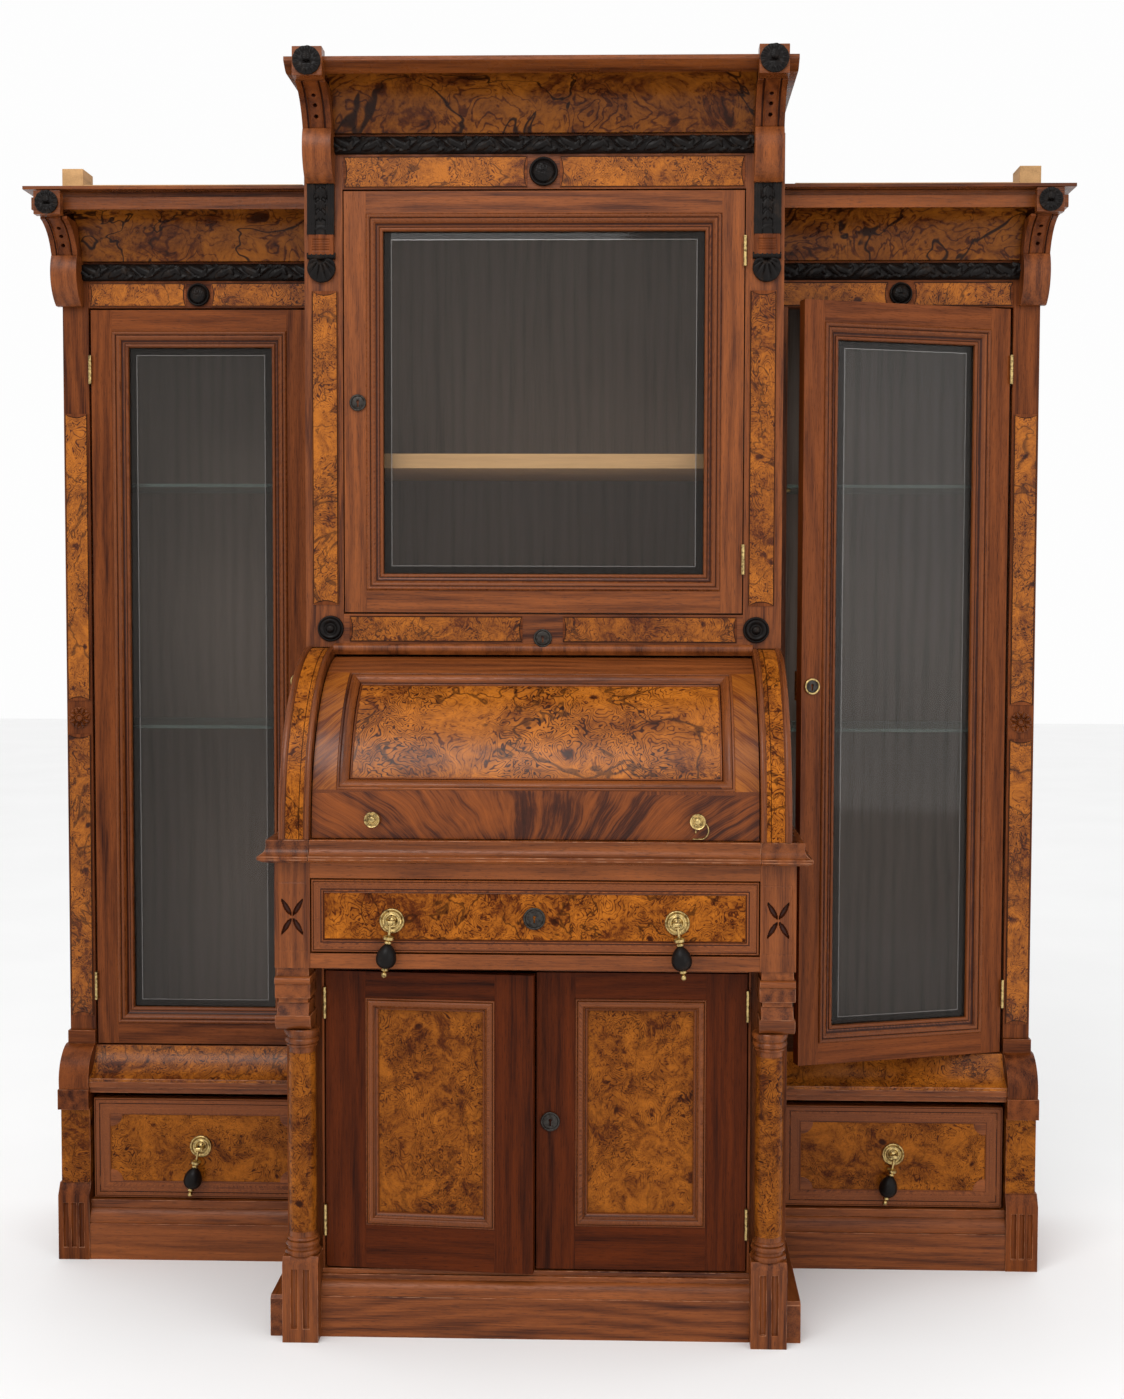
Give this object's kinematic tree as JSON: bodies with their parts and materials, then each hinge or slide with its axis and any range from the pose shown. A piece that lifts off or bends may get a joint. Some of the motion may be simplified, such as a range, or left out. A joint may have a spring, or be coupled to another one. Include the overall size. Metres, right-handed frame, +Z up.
{
  "type": "cylinder roll top secretary desk",
  "caption": "Walnut cylinder-front writing desk with a glazed bookcase above, flanking glazed wings, drawers, columns and a bracketed cornice.",
  "frame": {"origin": "on the floor at the centre of the footprint's bounding box", "axes": "+Z up, +X to the viewer's right, +Y to the back; the front faces -Y"},
  "size_m": [1.79, 0.6984, 2.058],
  "materials": {
    "walnut": "aged shellac, satin",
    "burl": "burl walnut veneer, polished",
    "ebonized": "ebonized, satin",
    "secondary_wood": "stained poplar",
    "light_wood": "maple and poplar, waxed",
    "raw_wood": "unfinished pine",
    "brass": "aged brass",
    "iron": "dark iron",
    "glass": "bevelled plate glass",
    "leather": "waxed hide"
  },
  "bodies": {
    "case": {"applied_rosettes": "ebonized", "bracket_carvings": "ebonized", "burl_strips": "burl", "carved_bands": "ebonized", "cylinder_cheeks": "walnut", "cylinder_lock": "ebonized", "cylinder_pivots": "iron", "desk_capitals": "walnut", "desk_carcass": "secondary_wood", "desk_columns": "walnut", "desk_corner_blocks": "walnut", "desk_feet": "walnut", "desk_ledge": "walnut", "desk_plinth": "walnut", "desk_rails": "walnut", "hinge_leaves": "brass", "pigeonhole_case": "light_wood", "shelf_pins": "brass", "upper_brackets": "walnut", "upper_carcass": "secondary_wood", "upper_cornice": "walnut", "upper_face_frame": "walnut", "upper_shelf": "raw_wood", "wing_bases": "walnut", "wing_brackets": "walnut", "wing_carcass_left": "secondary_wood", "wing_carcass_right": "secondary_wood", "wing_corner_posts": "raw_wood", "wing_cornices": "walnut", "wing_feet": "walnut", "wing_pilasters": "walnut", "wing_shelves": "glass"},
    "cylinder": {"cylinder_panel": "burl", "cylinder_moulding": "walnut", "cylinder_arms": "secondary_wood", "cylinder_knobs": "brass"},
    "knob_hook": {"knob_hook": "brass"},
    "writing_slide": {"writing_slide": "walnut", "writing_leather": "leather"},
    "desk_drawer": {"desk_drawer_front": "walnut", "desk_drawer_box": "light_wood", "desk_drawer_plates": "brass"},
    "desk_drop_left": {"desk_drop_left": "ebonized"},
    "desk_drop_right": {"desk_drop_right": "ebonized"},
    "upper_door": {"upper_door": "walnut", "upper_door_glass": "glass"},
    "wing_drawer_left": {"wing_drawer_left": "walnut", "wing_plate_left": "brass"},
    "wing_drop_left": {"wing_drop_left": "ebonized"},
    "lower_door_left": {"lower_door_left": "walnut"},
    "wing_door_left": {"wing_door_left": "walnut", "wing_glass_left": "glass"},
    "gallery_drawer_left": {"gallery_drawer_left": "light_wood"},
    "wing_drawer_right": {"wing_drawer_right": "walnut", "wing_plate_right": "brass"},
    "wing_drop_right": {"wing_drop_right": "ebonized"},
    "lower_door_right": {"lower_door_right": "walnut"},
    "wing_door_right": {"wing_door_right": "walnut", "wing_glass_right": "glass"},
    "gallery_drawer_right": {"gallery_drawer_right": "light_wood"}
  },
  "joints": [
    {"name": "cylinder_roll", "type": "hinge", "parent": "case", "child": "cylinder", "pos_m": [0, -0.03575, 0.812], "axis": [-1, 0, 0], "range_deg": [0, 72]},
    {"name": "hook_swing", "type": "hinge", "parent": "cylinder", "child": "knob_hook", "pos_m": [0.254, -0.30588, 0.83373], "axis": [0, 1, 0], "range_deg": [-20, 20]},
    {"name": "writing_slide_pull", "type": "slide", "parent": "case", "child": "writing_slide", "axis": [0, -1, 0], "range_m": [0, 0.23]},
    {"name": "desk_drawer_pull", "type": "slide", "parent": "case", "child": "desk_drawer", "axis": [0, -1, 0], "range_m": [0, 0.4]},
    {"name": "upper_door_swing", "type": "hinge", "parent": "case", "child": "upper_door", "pos_m": [0.335, -0.07175, 0], "axis": [0, 0, 1], "range_deg": [0, 92]},
    {"name": "lower_door_left_swing", "type": "hinge", "parent": "case", "child": "lower_door_left", "pos_m": [-0.3368, -0.27275, 0], "axis": [0, 0, -1], "range_deg": [-4.5, 85.5]},
    {"name": "wing_door_left_swing", "type": "hinge", "parent": "case", "child": "wing_door_left", "pos_m": [-0.808, 0.08325, 0], "axis": [0, 0, -1], "range_deg": [0, 90]},
    {"name": "wing_drawer_left_pull", "type": "slide", "parent": "case", "child": "wing_drawer_left", "axis": [0, -1, 0], "range_m": [0, 0.18]},
    {"name": "gallery_drawer_left_pull", "type": "slide", "parent": "case", "child": "gallery_drawer_left", "axis": [0, -1, 0], "range_m": [0, 0.14]},
    {"name": "desk_drop_left_swing", "type": "hinge", "parent": "desk_drawer", "child": "desk_drop_left", "pos_m": [-0.223, -0.33325, 0.676], "axis": [-1, 0, 0], "range_deg": [-2, 75]},
    {"name": "wing_drop_left_swing", "type": "hinge", "parent": "wing_drawer_left", "child": "wing_drop_left", "pos_m": [-0.615, 0.03675, 0.201], "axis": [-1, 0, 0], "range_deg": [-2, 75]},
    {"name": "lower_door_right_swing", "type": "hinge", "parent": "case", "child": "lower_door_right", "pos_m": [0.3368, -0.27275, 0], "axis": [0, 0, 1], "range_deg": [0, 90]},
    {"name": "wing_door_right_swing", "type": "hinge", "parent": "case", "child": "wing_door_right", "pos_m": [0.808, 0.08325, 0], "axis": [0, 0, 1], "range_deg": [-17, 73]},
    {"name": "wing_drawer_right_pull", "type": "slide", "parent": "case", "child": "wing_drawer_right", "axis": [0, -1, 0], "range_m": [0, 0.18]},
    {"name": "gallery_drawer_right_pull", "type": "slide", "parent": "case", "child": "gallery_drawer_right", "axis": [0, -1, 0], "range_m": [0, 0.14]},
    {"name": "desk_drop_right_swing", "type": "hinge", "parent": "desk_drawer", "child": "desk_drop_right", "pos_m": [0.223, -0.33325, 0.676], "axis": [-1, 0, 0], "range_deg": [-2, 75]},
    {"name": "wing_drop_right_swing", "type": "hinge", "parent": "wing_drawer_right", "child": "wing_drop_right", "pos_m": [0.615, 0.03675, 0.201], "axis": [-1, 0, 0], "range_deg": [-2, 75]}
  ]
}
